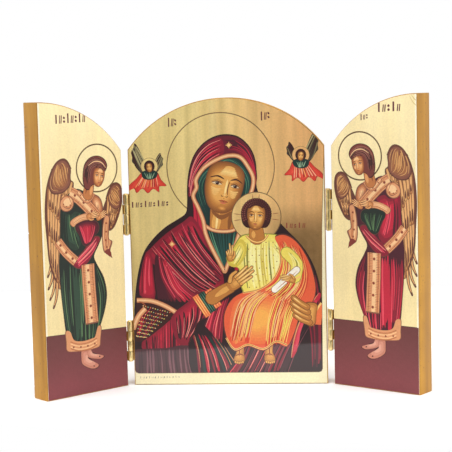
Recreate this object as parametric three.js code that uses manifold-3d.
// A folding triptych icon: three arch-topped wooden boards, each faced with a glued paper print,
// joined by four small brass butt hinges so that both wings fold over the middle board.
// Millimetres, +Z up. The origin is the middle of the centre board's underside.
// The boards' fronts face -Y. The wings are shown part open, as they stand on a shelf.
import * as THREE from "three";
import { mergeVertices } from "three/addons/utils/BufferGeometryUtils.js";
import Module from "manifold-3d";

const wasm = await Module();
wasm.setup();

// Driving dimensions of the boards
const CENTRE_WIDTH = 140;
const BOARD_THICKNESS = 17.5;
const SPRING_HEIGHT = 170.5;
const ARCH_RISE = 35.5;
const FRONT_ARRIS = 0.5;
const BACK_ARRIS = 1.6;
const ARRIS_STEPS = 2;
const ARCH_STEPS = 36;
const CLOSED_SEAM = 0.8;

// Driving dimensions of the prints
const PRINT_THICKNESS = 0.3;
const GLUE_LINE = 0.05;
const PRINT_MARGIN = 0.1;
const CLOSED_FACE_GAP = 0.7;

// Driving dimensions of the hinges
const HINGE_LENGTH = 29;
const KNUCKLES = 4;
const BARREL_RADIUS = 2;
const LEAF_THICKNESS = 0.8;
const LEAF_WIDTH = 10;
const LEAF_CORNER = 1;
const PIN_RADIUS = 1;
const PIN_PLAY = 0.09;
const PIN_HEAD_RADIUS = 1.6;
const PIN_HEAD_HEIGHT = 0.6;
const KNUCKLE_GAP = 0.3;
const REST_GAP = 0.3;
const ROUND_SIDES = 20;

// Driving dimensions of the screws
const SCREW_HEAD_RADIUS = 1.9;
const SCREW_SHANK_RADIUS = 0.9;
const SCREW_LENGTH = 9;
const SCREW_POINT = 2;
const SCREW_TO_LEAF_END = 6;
const SCREW_SLOT_WIDTH = 0.5;
const SCREW_SLOT_DEPTH = 0.35;
const SCREW_FROM_AXIS = 5.8;
const SCREW_PLAY = 0.2;
const SCREW_SIDES = 12;

// Where things stand
const LEFT_WING_ANGLE = 45.7;
const RIGHT_WING_ANGLE = 33.2;
const HINGE_HEIGHTS = {
  left: { upper: 124.3, lower: 32.5 },
  right: { upper: 125.3, lower: 39.2 },
};

// Chips along the back outer arris of each wing: height above the ground, half height, depth
const CHIP_SPREAD = 1.6;
const CHIP_TURN = 0.25;
const CHIPS = {
  left: [
    { height: 190, reach: 1.3, depth: 0.9 },
    { height: 116, reach: 2.1, depth: 1.3 },
    { height: 86, reach: 1.2, depth: 0.6 },
    { height: 8.5, reach: 1.6, depth: 1.0 },
  ],
  right: [
    { height: 195, reach: 1.4, depth: 0.8 },
    { height: 91, reach: 1.6, depth: 1.0 },
    { height: 31, reach: 1.5, depth: 0.9 },
    { height: 14, reach: 1.1, depth: 0.7 },
  ],
};

// Worked out from the driving dimensions
const HALF_WIDTH = CENTRE_WIDTH / 2;
const ARCH_RADIUS = (HALF_WIDTH ** 2 + ARCH_RISE ** 2) / (2 * ARCH_RISE);
const ARCH_CENTRE_HEIGHT = SPRING_HEIGHT + ARCH_RISE - ARCH_RADIUS;
const WING_WIDTH = HALF_WIDTH - CLOSED_SEAM / 2;
const AXIS_TO_BOARD = BARREL_RADIUS + REST_GAP;
const AXIS_X = HALF_WIDTH + AXIS_TO_BOARD;
const PRINT_FRONT = GLUE_LINE + PRINT_THICKNESS;
const AXIS_Y = -(PRINT_FRONT + CLOSED_FACE_GAP / 2);
const KNUCKLE_PITCH = HINGE_LENGTH / KNUCKLES;
const BORE_RADIUS = PIN_RADIUS + PIN_PLAY;
const LEAF_INNER = BARREL_RADIUS - LEAF_THICKNESS;
const SAME_POINT = 1e-4;
const HEAD_DEPTH = LEAF_THICKNESS + REST_GAP / 2;

// Materials
const goldPaint = new THREE.MeshStandardMaterial({ color: 0xbd8d45, roughness: 0.55, metalness: 0.35 });
const goldPrint = new THREE.MeshStandardMaterial({ color: 0xd8bd7c, roughness: 0.35, metalness: 0.4 });
const palePrint = new THREE.MeshStandardMaterial({ color: 0xf2e2ae, roughness: 0.4, metalness: 0.2 });
const brass = new THREE.MeshStandardMaterial({ color: 0xcfb060, roughness: 0.35, metalness: 0.9 });
const screwBrass = new THREE.MeshStandardMaterial({ color: 0xb8984e, roughness: 0.4, metalness: 0.9 });

// A closed three.js geometry as a solid that can be joined and cut.
function toSolid(geometry) {
  const bare = geometry.clone();
  for (const name of Object.keys(bare.attributes)) {
    if (name !== "position") bare.deleteAttribute(name);
  }
  const merged = mergeVertices(bare, SAME_POINT);
  return new wasm.Manifold(
    new wasm.Mesh({
      numProp: 3,
      vertProperties: new Float32Array(merged.attributes.position.array),
      triVerts: new Uint32Array(merged.index.array),
    }),
  );
}

// The solid's surface as a three.js geometry again.
function toGeometry(solid) {
  const mesh = solid.getMesh();
  const geometry = new THREE.BufferGeometry();
  geometry.setAttribute("position", new THREE.BufferAttribute(new Float32Array(mesh.vertProperties), 3));
  geometry.setIndex(new THREE.BufferAttribute(new Uint32Array(mesh.triVerts), 1));
  geometry.computeVertexNormals();
  return geometry;
}

// Height of the arch's curve, drawn in by inset, at a distance from the arch's middle line.
function archHeight(distance, inset) {
  return ARCH_CENTRE_HEIGHT + Math.sqrt((ARCH_RADIUS - inset) ** 2 - distance ** 2);
}

// An arch-topped outline between two upright edges, drawn in by inset all round, anticlockwise in X and Z.
// The arch is the same circle whatever part of it the outline spans; archX is its middle line.
function outline(xLow, xHigh, archX, inset) {
  const low = xLow + inset;
  const high = xHigh - inset;
  const points = [new THREE.Vector2(low, inset), new THREE.Vector2(high, inset)];
  const radius = ARCH_RADIUS - inset;
  const from = Math.acos((high - archX) / radius);
  const to = Math.acos((low - archX) / radius);
  const steps = Math.round((ARCH_STEPS * (xHigh - xLow)) / CENTRE_WIDTH);
  for (let i = 0; i <= steps; i++) {
    const x = archX + radius * Math.cos(from + ((to - from) * i) / steps);
    points.push(new THREE.Vector2(x, archHeight(x - archX, inset)));
  }
  return points;
}

// A closed geometry through rings of equally many points, each ring an outline at its own depth along Y.
function loft(rings) {
  const count = rings[0].points.length;
  const positions = [];
  const faces = [];
  for (const ring of rings) {
    for (const p of ring.points) positions.push(p.x, ring.y, p.y);
  }
  for (let r = 0; r + 1 < rings.length; r++) {
    for (let i = 0; i < count; i++) {
      const a = r * count + i;
      const b = r * count + ((i + 1) % count);
      faces.push(a, b + count, b, a, a + count, b + count);
    }
  }
  const last = (rings.length - 1) * count;
  for (const [a, b, c] of THREE.ShapeUtils.triangulateShape(rings[0].points, [])) {
    faces.push(a, b, c);
    faces.push(last + a, last + c, last + b);
  }
  const geometry = new THREE.BufferGeometry();
  geometry.setAttribute("position", new THREE.Float32BufferAttribute(positions, 3));
  geometry.setIndex(faces);
  return geometry;
}

// A board with a fine front arris and a softer back one, its front face at frontY.
function boardGeometry(xLow, xHigh, archX, frontY) {
  const rings = [];
  for (let i = 0; i <= ARRIS_STEPS; i++) {
    const turn = (Math.PI / 2) * (i / ARRIS_STEPS);
    rings.push({
      y: frontY + FRONT_ARRIS * (1 - Math.cos(turn)),
      points: outline(xLow, xHigh, archX, FRONT_ARRIS * (1 - Math.sin(turn))),
    });
  }
  for (let i = ARRIS_STEPS; i >= 0; i--) {
    const turn = (Math.PI / 2) * (i / ARRIS_STEPS);
    rings.push({
      y: frontY + BOARD_THICKNESS - BACK_ARRIS * (1 - Math.cos(turn)),
      points: outline(xLow, xHigh, archX, BACK_ARRIS * (1 - Math.sin(turn))),
    });
  }
  return loft(rings);
}

// The paper print that covers a board's front face.
function printGeometry(xLow, xHigh, archX, frontY) {
  const points = outline(xLow, xHigh, archX, FRONT_ARRIS + PRINT_MARGIN);
  return loft([
    { y: frontY - PRINT_FRONT, points },
    { y: frontY - GLUE_LINE, points },
  ]);
}

// A round bar up the hinge axis, from one height to another.
function roundBar(radius, low, high) {
  const bar = new THREE.CylinderGeometry(radius, radius, high - low, ROUND_SIDES);
  bar.rotateX(Math.PI / 2);
  bar.translate(0, 0, (low + high) / 2);
  return bar;
}

// A countersunk screw along +X, its head's face at x = 0, grown all round by play when it is used as a cutter.
function screwProfile(play) {
  const head = SCREW_HEAD_RADIUS + play;
  const shank = SCREW_SHANK_RADIUS + play;
  return [
    new THREE.Vector2(0, -play),
    new THREE.Vector2(head, -play),
    new THREE.Vector2(head, 0),
    new THREE.Vector2(shank, HEAD_DEPTH),
    new THREE.Vector2(shank, SCREW_LENGTH - SCREW_POINT + play),
    new THREE.Vector2(0, SCREW_LENGTH + play),
  ].filter((p, i, all) => i === 0 || p.distanceTo(all[i - 1]) > SAME_POINT);
}

function screwBody(play) {
  const turned = new THREE.LatheGeometry(screwProfile(play), SCREW_SIDES);
  turned.rotateZ(-Math.PI / 2);
  return toSolid(turned);
}

function screwGeometry() {
  const slot = new THREE.BoxGeometry(SCREW_SLOT_DEPTH * 2, SCREW_SLOT_WIDTH, SCREW_HEAD_RADIUS * 3);
  return toGeometry(screwBody(0).subtract(toSolid(slot)));
}

// Where the two screws of a leaf sit, as heights about the hinge's middle.
const SCREW_REACH = HINGE_LENGTH / 2 - SCREW_TO_LEAF_END;
const SCREW_OFFSETS = [SCREW_REACH, -SCREW_REACH];

// A cutter for a leaf's screw holes, in the leaf's own frame.
function screwCutter() {
  const holes = SCREW_OFFSETS.map((z) => {
    return screwBody(SCREW_PLAY).translate([LEAF_INNER, SCREW_FROM_AXIS, z]);
  });
  return holes[0].add(holes[1]);
}

// One leaf about its hinge axis: the plate lies on the +X side and runs back along +Y,
// and it carries the odd knuckles counted from the top. Turned half round about Y, it is the other leaf.
function leafGeometry() {
  const plate = new THREE.Shape();
  const top = HINGE_LENGTH / 2;
  plate.moveTo(0, -top);
  plate.lineTo(LEAF_WIDTH - LEAF_CORNER, -top);
  plate.absarc(LEAF_WIDTH - LEAF_CORNER, -top + LEAF_CORNER, LEAF_CORNER, -Math.PI / 2, 0);
  plate.absarc(LEAF_WIDTH - LEAF_CORNER, top - LEAF_CORNER, LEAF_CORNER, 0, Math.PI / 2);
  plate.lineTo(0, top);
  const sheet = new THREE.ExtrudeGeometry(plate, { depth: LEAF_THICKNESS, bevelEnabled: false, curveSegments: 4 });
  sheet.rotateX(Math.PI / 2);
  sheet.rotateZ(Math.PI / 2);
  sheet.translate(LEAF_INNER, 0, 0);
  let leaf = toSolid(sheet);
  const clearance = BARREL_RADIUS + REST_GAP;
  for (let k = 0; k < KNUCKLES; k += 2) {
    const high = top - k * KNUCKLE_PITCH;
    const low = high - KNUCKLE_PITCH;
    const gapAbove = k === 0 ? 0 : KNUCKLE_GAP / 2;
    const knuckle = roundBar(BARREL_RADIUS, low + KNUCKLE_GAP / 2, high - gapAbove);
    leaf = leaf.add(toSolid(knuckle));
  }
  for (let k = 1; k < KNUCKLES; k += 2) {
    const high = top - k * KNUCKLE_PITCH + KNUCKLE_GAP / 2;
    const low = top - (k + 1) * KNUCKLE_PITCH - KNUCKLE_GAP / 2;
    const notch = roundBar(clearance, low, high);
    leaf = leaf.subtract(toSolid(notch));
  }
  leaf = leaf.subtract(toSolid(roundBar(BORE_RADIUS, -HINGE_LENGTH, HINGE_LENGTH)));
  return toGeometry(leaf.subtract(screwCutter()));
}

// The hinge's pin, with a low domed head over each end of the barrel.
function pinGeometry() {
  const half = HINGE_LENGTH / 2 + PIN_PLAY;
  const rim = half + PIN_HEAD_HEIGHT / 2;
  const tip = half + PIN_HEAD_HEIGHT;
  const profile = [
    new THREE.Vector2(0, -tip),
    new THREE.Vector2(PIN_HEAD_RADIUS / 2, -tip),
    new THREE.Vector2(PIN_HEAD_RADIUS, -rim),
    new THREE.Vector2(PIN_HEAD_RADIUS, -half),
    new THREE.Vector2(PIN_RADIUS, -half),
    new THREE.Vector2(PIN_RADIUS, half),
    new THREE.Vector2(PIN_HEAD_RADIUS, half),
    new THREE.Vector2(PIN_HEAD_RADIUS, rim),
    new THREE.Vector2(PIN_HEAD_RADIUS / 2, tip),
    new THREE.Vector2(0, tip),
  ];
  const pin = new THREE.LatheGeometry(profile, ROUND_SIDES);
  pin.rotateX(Math.PI / 2);
  return toGeometry(toSolid(pin));
}

// A small wedge cut out of a back outer arris, in the wing's own frame.
function chipCutter(chip, outerX, backY) {
  const wedge = new THREE.OctahedronGeometry(1, 0);
  const spread = chip.depth * CHIP_SPREAD;
  wedge.scale(spread, spread, chip.reach);
  wedge.rotateY(CHIP_TURN);
  wedge.translate(outerX, backY, chip.height);
  return toSolid(wedge);
}

// Cuts a leaf's two blind screw holes into a board. The leaf's frame stands at (x, y, z), turned when half is true.
function drill(board, x, y, z, half) {
  let cutter = screwCutter();
  if (half) cutter = cutter.rotate([0, 180, 0]);
  return board.subtract(cutter.translate([x, y, z]));
}

// The panels hang in a group that puts the origin in the middle of the centre board's underside.
const triptych = new THREE.Group();
const panels = new THREE.Group();
panels.position.y = -BOARD_THICKNESS / 2;
triptych.add(panels);

const leafShape = leafGeometry();
const pinShape = pinGeometry();
const screwShape = screwGeometry();

function addMesh(parent, name, geometry, material) {
  const mesh = new THREE.Mesh(geometry, material);
  mesh.name = name;
  parent.add(mesh);
  return mesh;
}

// A leaf and its two screws, about the hinge axis of a group whose origin is on that axis.
function addLeaf(parent, name, axisX, axisY, height, half) {
  const holder = new THREE.Group();
  holder.position.set(axisX, axisY, height);
  if (half) holder.rotation.y = Math.PI;
  addMesh(holder, `${name}_leaf`, leafShape, brass);
  SCREW_OFFSETS.forEach((z, i) => {
    const screw = addMesh(holder, `${name}_screw_${i + 1}`, screwShape, screwBrass);
    screw.position.set(LEAF_INNER, SCREW_FROM_AXIS, z);
  });
  parent.add(holder);
}

// The centre board, its print, the fixed leaves and the pins
function addCentre() {
  let board = toSolid(boardGeometry(-HALF_WIDTH, HALF_WIDTH, 0, 0));
  for (const [side, sign] of [["left", -1], ["right", 1]]) {
    for (const [level, height] of Object.entries(HINGE_HEIGHTS[side])) {
      board = drill(board, sign * AXIS_X, AXIS_Y, height, sign > 0);
      addLeaf(panels, `${side}_${level}_hinge_fixed`, sign * AXIS_X, AXIS_Y, height, sign > 0);
      const pin = addMesh(panels, `${side}_${level}_hinge_pin`, pinShape, brass);
      pin.position.set(sign * AXIS_X, AXIS_Y, height);
    }
  }
  addMesh(panels, "centre_board", toGeometry(board), goldPaint);
  addMesh(panels, "centre_print", printGeometry(-HALF_WIDTH, HALF_WIDTH, 0, 0), goldPrint);
}

// One wing about its hinge axis, then turned forward from flat by its angle
function addWing(side, sign, angle) {
  const wing = new THREE.Group();
  const frontY = -AXIS_Y;
  const near = sign * AXIS_TO_BOARD;
  const far = sign * (AXIS_TO_BOARD + WING_WIDTH);
  const archX = sign * (AXIS_TO_BOARD + HALF_WIDTH);
  const low = Math.min(near, far);
  const high = Math.max(near, far);
  let board = toSolid(boardGeometry(low, high, archX, frontY));
  for (const [level, height] of Object.entries(HINGE_HEIGHTS[side])) {
    board = drill(board, 0, 0, height, sign < 0);
    addLeaf(wing, `${side}_${level}_hinge_swing`, 0, 0, height, sign < 0);
  }
  for (const chip of CHIPS[side]) {
    board = board.subtract(chipCutter(chip, far, frontY + BOARD_THICKNESS));
  }
  addMesh(wing, `${side}_wing_board`, toGeometry(board), goldPaint);
  addMesh(wing, `${side}_wing_print`, printGeometry(low, high, archX, frontY), palePrint);
  wing.position.set(sign * AXIS_X, AXIS_Y, 0);
  wing.rotation.z = -sign * THREE.MathUtils.degToRad(angle);
  panels.add(wing);
}

addCentre();
addWing("left", -1, LEFT_WING_ANGLE);
addWing("right", 1, RIGHT_WING_ANGLE);

export default triptych;
